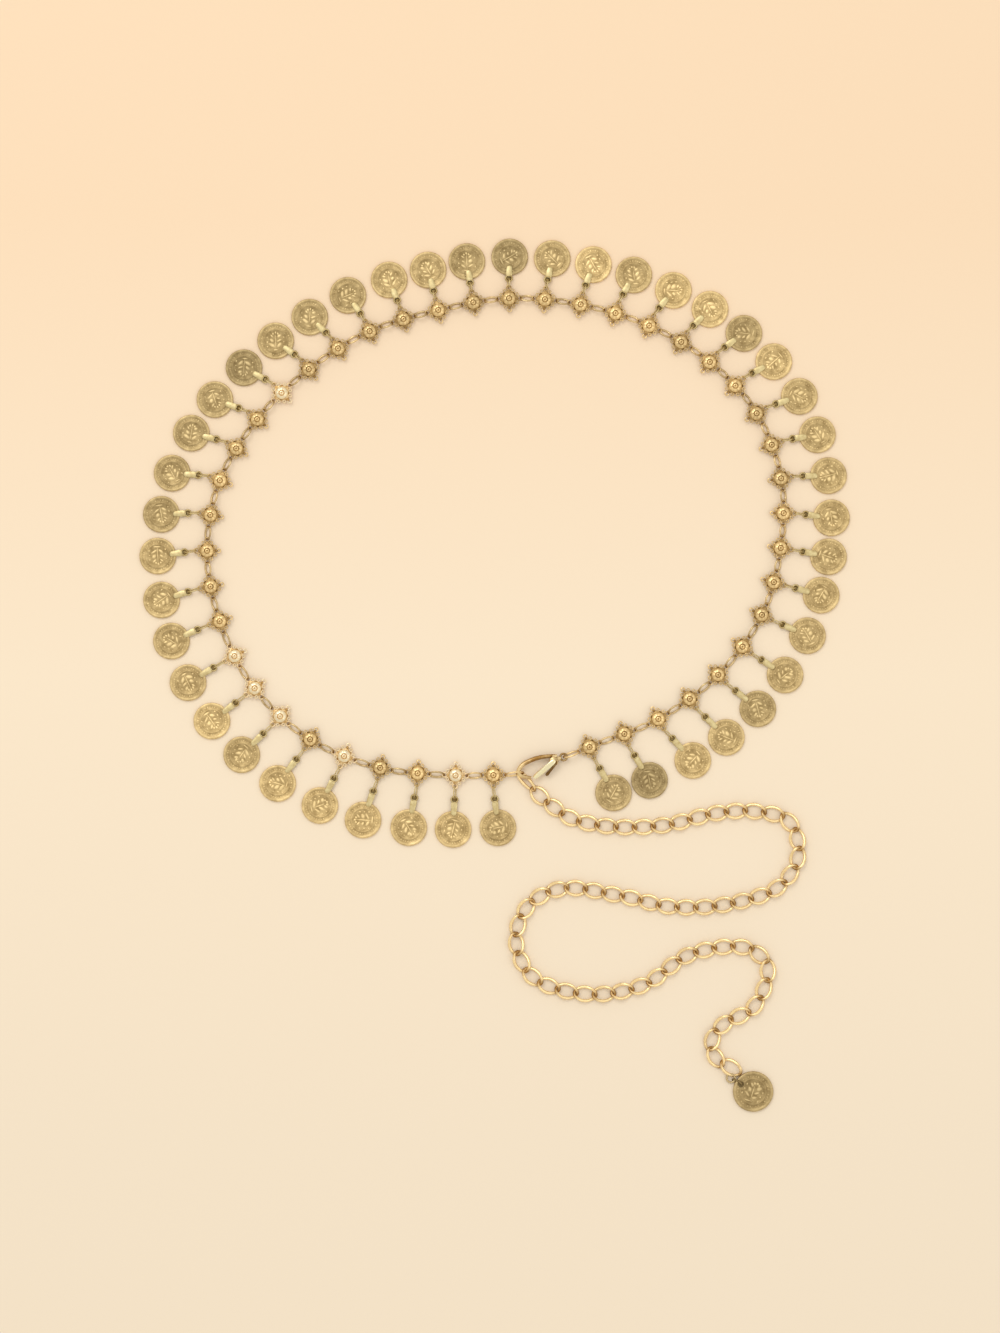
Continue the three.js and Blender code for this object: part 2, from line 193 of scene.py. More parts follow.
# Share of the leaf's length, half width, half height
FRONT_LEAF = [
    (0, 0.0009, 0.0003), (0.1, 0.0014, 0.0003), (0.3, 0.00142, 0.0003), (0.85, 0.00115, 0.0003),
    (0.97, 0.0009, 0.0002), (1, 0.0004, 0.0001),
]
FRONT_LEAF_LEVEL = 0.0015
FRONT_LEAF_WORN = (0.25, 0.75)
FRONT_LEAF_TONE = 0.88
# Painted shade: the back leaf is darkened, and its head under the eye, before the leaf's start, is dark
# for the shadow seen through the eye's hole.
# Share of the leaf's length, half width, level
BACK_LEAF = [
    (-0.4, 0.0004, 0.0007), (-0.36, 0.0009, 0.0007), (-0.2, 0.0012, 0.0007), (0, 0.0011, 0.0006),
    (0.12, 0.0012, 0.00016), (0.85, 0.0011, 0.00016), (1, 0.0005, 0.00016),
]
BACK_LEAF_HALF_THICK = 0.00015
BACK_LEAF_WORN = 0.6
BACK_LEAF_SHADE_TONE = 0.6

# Clasp, from the middle of its tail hole
CLASP_HEADING = math.radians(196.7)
CLASP_LEVEL = 0.00235
CLASP_PIVOT = (0.0046, 0.0005)
HOOK_HOLDS_AT = (0.0185, 0.0015)
HOOK_LINE = [
    (0.0034, -0.0015), (0.006, -0.0022), (0.01, -0.0028), (0.014, -0.0027), (0.0181, -0.0018),
    (0.0204, 0.0003), (0.0199, 0.0024), (0.0179, 0.0037), (0.0159, 0.0045),
]
HOOK_STATIONS = 34
HOOK_SIDES = 14
HOOK_HALF = 0.00078
HOOK_SWELL = 0.00022
HOOK_FLATTER = 0.95
HOOK_TIP_FROM = 0.95
HOOK_TIP_SHARE = 0.8
HOOK_DARK_TO = 0.014
HOOK_BRIGHT_FROM = 0.0204
HOOK_DARK = 0.05
HOOK_BRIGHT = 0.8
HOOK_TONE = 0.88
TAIL_R = 0.00147
TAIL_WIRE = 0.00095
TAIL_STEPS = 24
TAIL_SIDES = 10
TAIL_WORN = (0.0, 0.25)
TAIL_TONE = 0.7
NECK = [((0.0012, 0, 0), 0.0008, 0.0006), ((0.0032, 0, 0), 0.0011, 0.0008)]
NECK_TONE = 0.75
SPINE = [((0.0026, -0.0011, 0), 0.0009, 0.0012), ((0.0046, -0.0016, 0), 0.0008, 0.0012)]
CHEEK = [
    (0, 0.00085), (0.00186, 0.00085), (0.002, 0.001), (0.002, 0.0013), (0.0018, 0.0015),
    (0.00075, 0.0015), (0.00065, 0.00165), (0.0003, 0.00174), (0, 0.00176),
]
CHEEK_STEPS = 28
CHEEK_WORN = (0.3, 0.8)
CHEEK_TONE = 0.72
LEVER_ANGLE = math.radians(21.6)
LEVER_EYE = [
    (0, -0.0005), (0.0012, -0.0005), (0.0013, -0.0004), (0.0013, 0.0004), (0.0012, 0.0005), (0, 0.0005),
]
LEVER_EYE_STEPS = 24
LEVER_EYE_TONE = 0.8
GATE = [
    ((0.0024, 0, 0), 0.0007, 0.0005), ((0.005, 0, 0), 0.0009, 0.0005), ((0.009, 0, 0), 0.0008, 0.0005),
    ((0.0109, 0, 0), 0.0006, 0.0004), ((0.0112, 0, 0), 0.0003, 0.0003),
]
GATE_WORN = (0.4, 0.9)
GATE_TONE = 1.1
GATE_LEAF = [
    ((-0.0007, 0, 0.00166), 0.0005, 0.0001), ((-0.0005, 0, 0.0017), 0.0008, 0.00015),
    ((0.0005, 0, 0.0017), 0.00105, 0.00018), ((0.0028, 0, 0.00155), 0.0011, 0.0002),
    ((0.006, 0, 0.0008), 0.00105, 0.0003), ((0.0096, 0, 0.0005), 0.0009, 0.0003),
    ((0.0111, 0, 0.0003), 0.0006, 0.0002),
]
GATE_LEAF_ASKEW = math.radians(3)
# Painted highlight: the gate's upper leaf is pale and silvery, for its edge-lit top.
GATE_LEAF_HIGHLIGHT = (0.9, 1.0)
GATE_LEAF_HIGHLIGHT_TONE = 1.4
THUMB_TAB = [
    ((-0.0013, 0.0003, 0.00165), 0.0004, 0.0001), ((-0.0004, 0.0012, 0.00165), 0.0006, 0.00015),
    ((0.0014, 0.0026, 0.0012), 0.0006, 0.0003), ((0.003, 0.0037, 0.0004), 0.0006, 0.0004),
    ((0.0044, 0.0046, 0), 0.00075, 0.0005), ((0.005, 0.005, 0), 0.0004, 0.0003),
]
# Painted shade: the thumb tab is dark, for the shaded side along the lever.
THUMB_TAB_SHADE = (0.0, 0.1)
THUMB_TAB_SHADE_TONE = 0.5

# Curb chain
CURB_LINE = [
    (0.0136, -0.0461), (0.0197, -0.0525), (0.0257, -0.0573), (0.0331, -0.0618),
    (0.0486, -0.0651), (0.0724, -0.0647), (0.0958, -0.0594), (0.1122, -0.0587),
    (0.1267, -0.0631), (0.1308, -0.0776), (0.1226, -0.091), (0.1005, -0.0987),
    (0.0765, -0.0999), (0.053, -0.0949), (0.0285, -0.0921), (0.0142, -0.0994),
    (0.0088, -0.1144), (0.016, -0.1301), (0.0394, -0.1376), (0.0638, -0.1337),
    (0.0843, -0.1204), (0.1085, -0.1178), (0.1174, -0.1256), (0.1119, -0.1428),
    (0.0981, -0.1511), (0.0934, -0.1584), (0.0954, -0.1654), (0.1017, -0.1694),
]
CURB_PER_RUN = [20, 20, 19]
CURB_WIDE = 0.0073
CURB_WIRE = 0.0013
CURB_SLACK = 0.0001
CURB_STEPS = 28
CURB_TWIST = math.radians(30)
CURB_LEVEL = 0.0014
# Painted shade near a curb link's ends, where the links cross, and a little painted light on its upper
# side.
CURB_TOP_LIGHT = 0.1
CURB_SHADE_FROM = 0.66
CURB_CROSSING_SHADE = 2.6
CURB_TONES = (0.94, 1.04)
CURB_FIRST_HALF_WIDE = 0.0015
CURB_FIRST_LONGER = 0.0013

# End of the curb chain
SMALL_RING_AT = Vector((0.1017, -0.174, 0))
SMALL_RING_R = 0.0018
SMALL_RING_LEVEL = 0.0012
SMALL_RING_TONE = 0.6
END_HEADING = math.radians(-31)
END_COIN_R = 0.0087
END_COIN_THICK = 0.0013
END_COIN_RELIEF = 0.0003
END_COIN_TONE = 0.83
END_RING_FROM = 0.00095
END_RING_TO = 0.0054
END_RING_HALF = 0.00098
END_RING_WIRE = 0.0009
END_RING_TILT = math.radians(50)
END_RING_TONE = 0.7
END_HOLE_AT = 0.0051
# Painted shade: the punched hole is a dark plug, for the shadow inside the hole.
HOLE_SHADE_PLUG = [
    (0, -0.00066), (0.0009, -0.00066), (0.001, -0.00072), (0.0012, -0.0007), (0.0013, -0.0006),
    (0.0013, 0.0006), (0.0012, 0.0007), (0.001, 0.00072), (0.0009, 0.00066), (0, 0.00066),
]
HOLE_SHADE_PLUG_STEPS = 20
HOLE_SHADE_PLUG_LEVEL = 0.00072
HOLE_SHADE_PLUG_TONE = 0.45

# A CAD node's foot on the surface
FLOOR_TOUCH = 0.00002
FOOT_WITHIN = 0.009

# Brass, paper and the light from all round
METALLIC = 0.92
MOTTLE_DETAIL = 5
MOTTLE_ROUGHNESS = 0.6
MOTTLE_RANGE = (0.3, 0.7)
MOTTLE_SPREAD = 0.28
SILVERY_FROM = 1.2
SILVERY = (0.84, 0.72, 0.52, 1)
PIT_DETAIL = 3
PIT_DEPTH = 0.00006
PIT_STRENGTH = 0.35
PAPER_HALF = 12
PAPER_ROUGHNESS = 0.9
PAPER_SHINE = 0.1
# Painted light: the paper shifts from cream near to peach far, for the uneven warm light across the sheet.
PAPER_FADES_OVER = 0.2
PAPER_NEAR = (0.835, 0.73, 0.585, 1)
PAPER_MIDDLE = (0.865, 0.745, 0.585, 1)
PAPER_FAR = (0.86, 0.675, 0.485, 1)
STUDIO_COLOUR = (1.0, 0.95, 0.87, 1)
STUDIO_STRENGTH = 0.88

# The picture, straight down on the belt
MM_PER_PIXEL = 0.4324
PICTURE_PIXELS = (1000, 1333)
PICTURE_MIDDLE = Vector((0.00234, 0.00409, 0))
CAMERA_HIGH = 1.5
SENSOR_WIDE = 36

chance = random.Random(11)
hinges = {joint["child"]: joint for joint in frame["joints"]}


def turn(angle, axis="Z"):
    """A turn about one of the axes."""
    return Matrix.Rotation(angle, 4, axis)


def move(x, y, z=0.0):
    """A move without a turn."""
    return Matrix.Translation((x, y, z))


def ahead(place, distance):
    """Point at a distance along a place's own X axis."""
    return place @ Vector((distance, 0, 0))


def hinge_of(body):
    """Point that a body turns about."""
    return Vector(hinges[body]["pos_m"])


def blank():
    """A bmesh whose points can say how worn they are and what tone they have."""
    bm = bmesh.new()
    bm.verts.layers.float.new("worn")
    bm.verts.layers.float.new("tone")
    return bm


def paint_wear_and_shade(bm, rule):
    """Sets each point's wear and painted shade, from 0 for dark recesses and painted shadow to 1 for
    rubbed crests and painted light.
    """
    layer = bm.verts.layers.float["worn"]
    for vert in bm.verts:
        vert[layer] = min(1.0, max(0.0, rule(vert.co)))
    return bm


def wear_and_shade_evenly(bm, worn):
    """Gives a shape the same wear and painted shade all over."""
    return paint_wear_and_shade(bm, lambda co: worn)


def darker_below(bm, low=0.35, high=1.0):
    """Makes a shape darker underneath and brighter on top."""
    heights = [vert.co.z for vert in bm.verts]
    lowest = min(heights)
    tall = max(heights) - lowest
    return paint_wear_and_shade(bm, lambda co: low + (high - low) * (co.z - lowest) / tall)


def wear_crest(bm, low, high, wire):
    """Makes a ring of wire dark at its sides and bright along its crest."""
    return paint_wear_and_shade(bm, lambda co: low + (high - low) * max(0.0, co.z / wire * 2) ** 2)


def closed(bm, name):
    """The mesh of a finished shape, its doubles merged and its faces pointing outwards."""
    bmesh.ops.remove_doubles(bm, verts=bm.verts, dist=MERGE_WITHIN)
    bmesh.ops.recalc_face_normals(bm, faces=bm.faces)
    mesh = bpy.data.meshes.new(name)
    bm.to_mesh(mesh)
    bm.free()
    return mesh


def put(bm, mesh, place, tone=1.0):
    """Adds a copy of a mesh at a place, in one tone."""
    placed = mesh.copy()
    placed.transform(place)
    placed.attributes["tone"].data.foreach_set("value", [tone] * len(placed.vertices))
    bm.from_mesh(placed)
    bpy.data.meshes.remove(placed)


def put_once(bm, name, shape, place, tone=1.0):
    """Closes a shape and adds it at the one place where it is used."""
    mesh = closed(shape, name)
    put(bm, mesh, place, tone)
    bpy.data.meshes.remove(mesh)


def piece(bm, name, body, slot, material, *nodes):
    """Makes a finished bmesh a piece of the belt that rides on a body and stands for CAD nodes."""
    for face in bm.faces:
        face.smooth = True
    for edge in bm.edges:
        edge.smooth = edge.calc_face_angle(0) < SHARP
    mesh = bpy.data.meshes.new(name)
    bm.to_mesh(mesh)
    bm.free()
    mesh.materials.append(material)
    made = bpy.data.objects.new(name, mesh)
    bpy.context.scene.collection.objects.link(made)
    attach(made, body)
    if nodes:
        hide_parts(*nodes)


def lathe(profile, steps):
    """A round shape about Z from the points of its profile."""
    bm = blank()
    points = [bm.verts.new((radius, 0, height)) for radius, height in profile]
    edges = [bm.edges.new(pair) for pair in zip(points, points[1:])]
    bmesh.ops.spin(
        bm, geom=points + edges, cent=(0, 0, 0), axis=(0, 0, 1),
        angle=2 * math.pi, steps=steps, use_merge=True,
    )
    bmesh.ops.remove_doubles(bm, verts=bm.verts, dist=MERGE_WITHIN)
    return bm


def ball(radius):
    """A small ball."""
    bm = blank()
    bmesh.ops.create_icosphere(bm, subdivisions=2, radius=radius)
    return bm


def wire_ring(half_long, half_wide, wire, steps=20, sides=8):
    """A closed ring of wire round Z, drawn out to an oval along X."""
    bm = blank()
    bmesh.ops.create_circle(
        bm, segments=sides, radius=wire / 2, matrix=move(half_wide, 0) @ turn(math.pi / 2, "X"),
    )
    bmesh.ops.spin(
        bm, geom=bm.verts[:] + bm.edges[:], cent=(0, 0, 0), axis=(0, 0, 1),
        angle=2 * math.pi, steps=steps, use_merge=True,
    )
    for vert in bm.verts:
        vert.co.x += (half_long - half_wide) * vert.co.x / vert.co.xy.length
    return bm


def rod(stations, sides=12):
    """A closed rod through stations of (point, half width across the surface, half height)."""
    bm = blank()
    points = [Vector(point) for point, _, _ in stations]
    places = []
    for i, (_, half_width, half_height) in enumerate(stations):
        along = points[min(i + 1, len(points) - 1)] - points[max(i - 1, 0)]
        across = Vector((0, 0, 1)).cross(along).normalized()
        up = along.cross(across).normalized()
        axes = Matrix((across * half_width, up * half_height, along.normalized())).transposed()
        places.append(Matrix.Translation(points[i]) @ axes.to_4x4())
    bmesh.ops.create_circle(bm, segments=sides, radius=1, matrix=places[0])
    edges = bm.edges[:]
    for last, now in zip(places, places[1:]):
        grown = bmesh.ops.extrude_edge_only(bm, edges=edges)["geom"]
        verts = [item for item in grown if isinstance(item, bmesh.types.BMVert)]
        edges = [item for item in grown if isinstance(item, bmesh.types.BMEdge)]
        bmesh.ops.transform(bm, matrix=now @ last.inverted(), verts=verts)
    bmesh.ops.holes_fill(bm, edges=bm.edges[:], sides=0)
    return bm


def smooth_line(points):
    """Closely spaced points on the smooth line through points laid on the surface."""
    corners = [Vector((x, y, 0)) for x, y in points]
    corners.insert(0, 2 * corners[0] - corners[1])
    corners.append(2 * corners[-1] - corners[-2])
    fine = [corners[1]]
    for before, start, end, after in zip(corners, corners[1:], corners[2:], corners[3:]):
        gaps = [math.sqrt((b - a).length) for a, b in ((before, start), (start, end), (end, after))]
        leave = (start - before) / gaps[0] - (end - before) / (gaps[0] + gaps[1]) + (end - start) / gaps[1]
        arrive = (end - start) / gaps[1] - (after - start) / (gaps[1] + gaps[2]) + (after - end) / gaps[2]
        for step in range(1, LINE_STEPS + 1):
            t = step / LINE_STEPS
            fine.append(
                start * (2 * t**3 - 3 * t**2 + 1)
                + end * (3 * t**2 - 2 * t**3)
                + leave * gaps[1] * (t**3 - 2 * t**2 + t)
                + arrive * gaps[1] * (t**3 - t**2)
            )
    return fine


def along_line(points, count):
    """Places spaced evenly along the smooth line through points, and the line's length."""
    fine = smooth_line(points)
    travelled = [0.0]
    for a, b in zip(fine, fine[1:]):
        travelled.append(travelled[-1] + (b - a).length)
    places = []
    at = 0
    for i in range(count):
        wanted = travelled[-1] * i / (count - 1)
        while at < len(fine) - 2 and travelled[at + 1] < wanted:
            at += 1
        share = (wanted - travelled[at]) / (travelled[at + 1] - travelled[at])
        point = fine[at].lerp(fine[at + 1], share)
        around = fine[min(at + 2, len(fine) - 1)] - fine[max(at - 1, 0)]
        places.append(Matrix.Translation(point) @ turn(math.atan2(around.y, around.x)))
    return places, travelled[-1]


def feed(tree, socket, value):
    """Links a value into a socket, or sets it there if it is a plain number or colour."""
    if isinstance(value, bpy.types.NodeSocket):
        tree.links.new(value, socket)
    else:
        socket.default_value = value


def cloudy(tree, scale, detail, roughness=0.5):
    """A cloudy pattern fixed to the piece."""
    where = tree.nodes.new("ShaderNodeTexCoord")
    cloud = tree.nodes.new("ShaderNodeTexNoise")
    cloud.inputs["Scale"].default_value = scale
    cloud.inputs["Detail"].default_value = detail
    cloud.inputs["Roughness"].default_value = roughness
    tree.links.new(where.outputs["Object"], cloud.inputs["Vector"])
    return cloud.outputs["Fac"]


def painted(tree, name):
    """What the points of the piece say about themselves under a name."""
    attribute = tree.nodes.new("ShaderNodeAttribute")
    attribute.attribute_name = name
    return attribute.outputs["Fac"]


def ranged(tree, value, start=(0, 1), end=(0, 1)):
    """A value taken from one range to another."""
    node = tree.nodes.new("ShaderNodeMapRange")
    node.inputs["From Min"].default_value = start[0]
    node.inputs["From Max"].default_value = start[1]
    node.inputs["To Min"].default_value = end[0]
    node.inputs["To Max"].default_value = end[1]
    tree.links.new(value, node.inputs["Value"])
    return node.outputs["Result"]


def reckoned(tree, operation, first, second):
    """The sum or product of two values, kept between 0 and 1."""
    node = tree.nodes.new("ShaderNodeMath")
    node.operation = operation
    node.use_clamp = True
    tree.links.new(first, node.inputs[0])
    tree.links.new(second, node.inputs[1])
    return node.outputs["Value"]


def mixed(tree, blend, share, first, second):
    """Two colours mixed or multiplied."""
    node = tree.nodes.new("ShaderNodeMix")
    node.data_type = "RGBA"
    node.blend_type = blend
    node.clamp_result = True
    feed(tree, node.inputs["Factor"], share)
    feed(tree, node.inputs["A"], first)
    feed(tree, node.inputs["B"], second)
    return node.outputs["Result"]


def brass(name, bright, dark, rough_bright, rough_dark, mottle, pits):
    """Antiqued brass: dark in the recesses and in painted shade, bright on rubbed crests and in painted
    light, mottled and finely pitted.
    """
    material = bpy.data.materials.new(name)
    material.use_nodes = True
    tree = material.node_tree
    shader = tree.nodes["Principled BSDF"]
    shader.inputs["Metallic"].default_value = METALLIC

    cloud = cloudy(tree, mottle, MOTTLE_DETAIL, MOTTLE_ROUGHNESS)
    cloud = ranged(tree, cloud, MOTTLE_RANGE, (-MOTTLE_SPREAD, MOTTLE_SPREAD))
    shown = reckoned(tree, "ADD", painted(tree, "worn"), cloud)
    tone = painted(tree, "tone")
    colour = mixed(tree, "MIX", shown, (*dark, 1), (*bright, 1))
    colour = mixed(tree, "MULTIPLY", 1, colour, tone)
    silver = reckoned(tree, "MULTIPLY", ranged(tree, tone, (SILVERY_FROM, SILVERY_TONE)), shown)
    tree.links.new(mixed(tree, "MIX", silver, colour, SILVERY), shader.inputs["Base Color"])
    tree.links.new(ranged(tree, shown, end=(rough_dark, rough_bright)), shader.inputs["Roughness"])

    bump = tree.nodes.new("ShaderNodeBump")
    bump.inputs["Strength"].default_value = PIT_STRENGTH
    bump.inputs["Distance"].default_value = PIT_DEPTH
    tree.links.new(cloudy(tree, pits, PIT_DETAIL), bump.inputs["Height"])
    tree.links.new(bump.outputs["Normal"], shader.inputs["Normal"])
    return material


cast_brass = brass(
    "cast_brass", bright=(0.9, 0.67, 0.33), dark=(0.34, 0.21, 0.075),
    rough_bright=0.32, rough_dark=0.5, mottle=900, pits=4500,
)
coin_brass = brass(
    "coin_brass", bright=(0.89, 0.695, 0.36), dark=(0.36, 0.255, 0.11),
    rough_bright=0.46, rough_dark=0.6, mottle=420, pits=2500,
)
pale_gold = brass(
    "pale_gold", bright=(1.0, 0.78, 0.42), dark=(0.36, 0.19, 0.05),
    rough_bright=0.25, rough_dark=0.42, mottle=500, pits=3000,
)
pale_brass = brass(
    "pale_brass", bright=(0.88, 0.76, 0.42), dark=(0.4, 0.25, 0.07),
    rough_bright=0.42, rough_dark=0.5, mottle=500, pits=3000,
)


def valley(co):
    """0 on the ridge of a petal and 1 in the valley between two."""
    return (1 - math.cos(PETALS * math.atan2(co.y, co.x))) / 2


def rosette_worn(co):
    """Dark in the two grooves, the pit and under the edge, bright on the petals."""
    radius = co.xy.length
    if radius < PIT_TO or INNER_GROOVE[0] < radius < INNER_GROOVE[1]:
        return PIT_WORN
    if DOME_TO < radius < GROOVE_TO:
        return GROOVE_WORN
    if co.z < EYE_LEVEL:
        return UNDERSIDE_WORN
    if radius > GROOVE_TO:
        return EDGE_WORN
    return PETAL_WORN - (PETAL_WORN - VALLEY_WORN) * valley(co)


def rosette():
    """The domed boss of a link, pressed into petals."""
    bm = lathe(ROSETTE, ROSETTE_STEPS)
    for vert in bm.verts:
        radius = vert.co.xy.length
        if DOME_FROM < radius < DOME_TO and vert.co.z > EYE_LEVEL:
            across = (radius - DOME_FROM) / (DOME_TO - DOME_FROM)
            vert.co.z -= PETAL_DIP * valley(vert.co) * math.sin(math.pi * across)
    return paint_wear_and_shade(bm, rosette_worn)


def corner_plate():
    """The thin square plate that ties a link's eyes together."""
    bm = blank()
    bmesh.ops.create_circle(bm, cap_ends=True, segments=4, radius=PLATE_TIP)
    raised = bmesh.ops.extrude_face_region(bm, geom=bm.faces[:])["geom"]
    bmesh.ops.translate(
        bm, vec=(0, 0, PLATE_THICK), verts=[v for v in raised if isinstance(v, bmesh.types.BMVert)],
    )
    bmesh.ops.bevel(
        bm, geom=bm.edges[:], offset=PLATE_THICK / 4, segments=2, profile=0.5,
        affect="EDGES", material=-1,
    )
    return wear_and_shade_evenly(bm, PLATE_WORN)


def link_eye(radius, worn):
    """One of the eyes at a link's corners."""
    eye = wire_ring(radius, radius, CORNER_EYE_WIRE, EYE_STEPS, EYE_SIDES)
    return wear_crest(eye, *worn, CORNER_EYE_WIRE)


def cast_link():
    """One filigree link: a domed rosette in a ring of small loops, with an eye at each corner and a dark
    ball of painted shade by the inner eye.
    """
    bm = rosette()
    put_once(bm, "corner_plate", corner_plate(), move(0, 0, EYE_LEVEL - PLATE_THICK / 2))
    loop = wire_ring(LOOP_R, LOOP_R, LOOP_GAUGE, LOOP_STEPS, LOOP_SIDES)
    loop = closed(wear_crest(loop, *LOOP_WORN, LOOP_GAUGE), "filigree_loop")
    for quarter in range(4):
        corner = turn(quarter * math.pi / 2)
        if quarter == INNER_QUARTER:
            eye = link_eye(INNER_EYE_R, INNER_EYE_WORN)
            put_once(bm, "inner_eye", eye, corner @ move(INNER_EYE_AT, 0, EYE_LEVEL))
            # Painted shade: a dark ball for the shadow at the inner eye.
            shade_ball = wear_and_shade_evenly(ball(SHADE_BALL_R), 0.0)
            put_once(bm, "inner_shade_ball", shade_ball, corner @ move(SHADE_BALL_AT, 0, SHADE_BALL_LEVEL))
        else:
            eye = link_eye(CORNER_EYE_R, CORNER_EYE_WORN)
            put_once(bm, "corner_eye", eye, corner @ move(CORNER_EYE_AT, 0, EYE_LEVEL))
        for angle in LOOP_ANGLES:
            put(bm, loop, corner @ turn(angle) @ move(LOOPS_AT, 0, LOOP_LEVEL))
    bpy.data.meshes.remove(loop)
    return closed(bm, "cast_link")


def sprig():
    """The strokes of a leafy sprig: x, y, half length, half width and lean, in shares of the radius."""
    strokes = [(*STEM, 0)]
    for i in range(LEAF_PAIRS):
        up = LEAF_FIRST + LEAF_APART * i
        for side in (1, -1):
            strokes.append((side * LEAF_OUT, up, LEAF_LONG - LEAF_SHRINK * i, LEAF_WIDE, side * LEAF_LEAN))
            strokes.append((side * BERRY_OUT, up - BERRY_DROP, *BERRY_SIZE, 0))
    for side in (1, 0, -1):
        strokes.append((side * BUD_OUT, BUD_UP - BUD_DROP * abs(side), *BUD_SIZE, 0))
    strokes.append((*FOOT, 0))
    return strokes


def coin_disc(radius, half, field, relief):
    """A plain disc with a raised rim and a fine raised ring on both faces."""
    profile = [
        (0, field), (radius * FIELD_STEP, field), (radius * INNER_RING[0], field),
        (radius * INNER_RING[1], field + relief * INNER_RING_LIFT), (radius * INNER_RING[2], field),
        (radius * RIM_FROM, field),
    ]
    profile += [(radius * share, half * height) for share, height in RIM]
    profile += [(r, -z) for r, z in reversed(profile)]

    def disc_worn(co):
        share = co.xy.length / radius
        if share > RIM_FROM + BETWEEN:
            return RIM_WORN
        if share > INNER_RING[2] + BETWEEN:
            return BAND_WORN
        if INNER_RING[0] + BETWEEN < share < INNER_RING[2] - BETWEEN:
            return INNER_RING_WORN
        return FIELD_WORN

    return paint_wear_and_shade(lathe(profile, COIN_STEPS), disc_worn)


def struck_coin(radius, thick, relief):
    """A worn coin with a raised rim, a band of strokes and a leafy sprig on both faces."""
    half = thick / 2
    field = half - relief
    bm = coin_disc(radius, half, field, relief)
    faint, strong = STROKE_WORN
    stroke = closed(paint_wear_and_shade(ball(1), lambda co: faint + (strong - faint) * abs(co.z) ** 2), "stroke")

    def raise_stroke(x, y, angle, long, wide, lean):
        """Raises one unevenly worn stroke on each face, in shares of the radius."""
        for side in (1, -1):
            place = turn(angle) @ move(radius * x, radius * y, side * field)
            place = place @ turn(lean + chance.uniform(-STROKE_TURN, STROKE_TURN))
            long_left = radius * long * chance.uniform(*STROKE_LONG)
            wide_left = radius * wide * chance.uniform(*STROKE_WIDE)
            high_left = relief * chance.uniform(*STROKE_HIGH)
            put(bm, stroke, place @ Matrix.Diagonal((long_left, wide_left, high_left, 1)))

    for i in range(BAND_STROKES):
        long = BAND_LONG if i % 3 else BAND_SHORT
        raise_stroke(BAND_AT, 0, 2 * math.pi * i / BAND_STROKES, long, BAND_WIDE, 0)
    for x, y, long, wide, lean in sprig():
        raise_stroke(x, y, 0, long, wide, lean)
    bpy.data.meshes.remove(stroke)
    return closed(bm, "struck_coin")


def middle_on_floor(node, near=None):
    """Middle of the flat foot that a CAD node stands on, or of the one nearest to a point."""
    points = {
        tuple(round(c, 6) for c in vert.co) for vert in node.data.vertices if vert.co.z < FLOOR_TOUCH
    }
    feet = [Vector(p) for p in points if near is None or (Vector(p) - near).xy.length < FOOT_WITHIN]
    return sum(feet, Vector()) / len(feet)


def lay_out():
    """Where each link and each pendant lies.

    A pendant's hinge is on the rim of its link's outer eye, and its ring leans over to the side
    that leaves the eye clear when the coin is lifted.
    """
    links = []
    pendants = []
    for run, count in enumerate(LINKS_PER_RUN):
        for _ in range(count):
            name = f"coin_pendant_{len(links) + 1:02d}"
            hinge = hinge_of(name)
            centre = middle_on_floor(frame["nodes"][f"link_run_{run + 1:02d}"], hinge)
            outward = (hinge - centre).xy
            heading = math.atan2(outward.y, outward.x) + math.pi / 2
            links.append((run, Matrix.Translation(centre.xy.to_3d()) @ turn(heading)))
            along = (middle_on_floor(frame["nodes"][name]) - hinge).xy
            reach = along.length + HINGE_AT
            start = hinge.xy.to_3d() - HINGE_AT * along.normalized().to_3d()
            lies = turn(math.atan2(along.y, along.x))
            lean = math.copysign(PENDANT_RING_TILT, outward.cross(along))
            pendants.append((name, Matrix.Translation(start) @ lies, reach, lean))
    return links, pendants


def add_links(links):
    """The cast links, one piece for each run."""
    link_mesh = cast_link()
    for run in range(len(LINKS_PER_RUN)):
        bm = blank()
        for number, (its_run, place) in enumerate(links, 1):
            if its_run == run:
                tone = SILVERY_TONE if number in SILVERY_LINKS else chance.uniform(*LINK_TONES)
                put(bm, link_mesh, place, tone)
        node = f"link_run_{run + 1:02d}"
        piece(bm, f"filigree_links_{run + 1:02d}", "belt", "cast_brass", cast_brass, node)
    bpy.data.meshes.remove(link_mesh)


def laid_ring(bm, start, end, half_wide, level, tilt, tone=1.0):
    """A jump ring between two points, tilted over on its long axis."""
    across = end - start
    half_long = across.xy.length / 2
    ring = wire_ring(half_long, half_wide, RING_WIRE)
    paint_wear_and_shade(ring, lambda co: RING_WORN - RING_WORN * abs(co.x / half_long) ** 4)
    middle = (start + end) / 2
    lies = turn(math.atan2(across.y, across.x)) @ turn(math.pi / 2 - tilt, "X")
    put_once(bm, "jump_ring", ring, move(middle.x, middle.y, level) @ lies, tone)


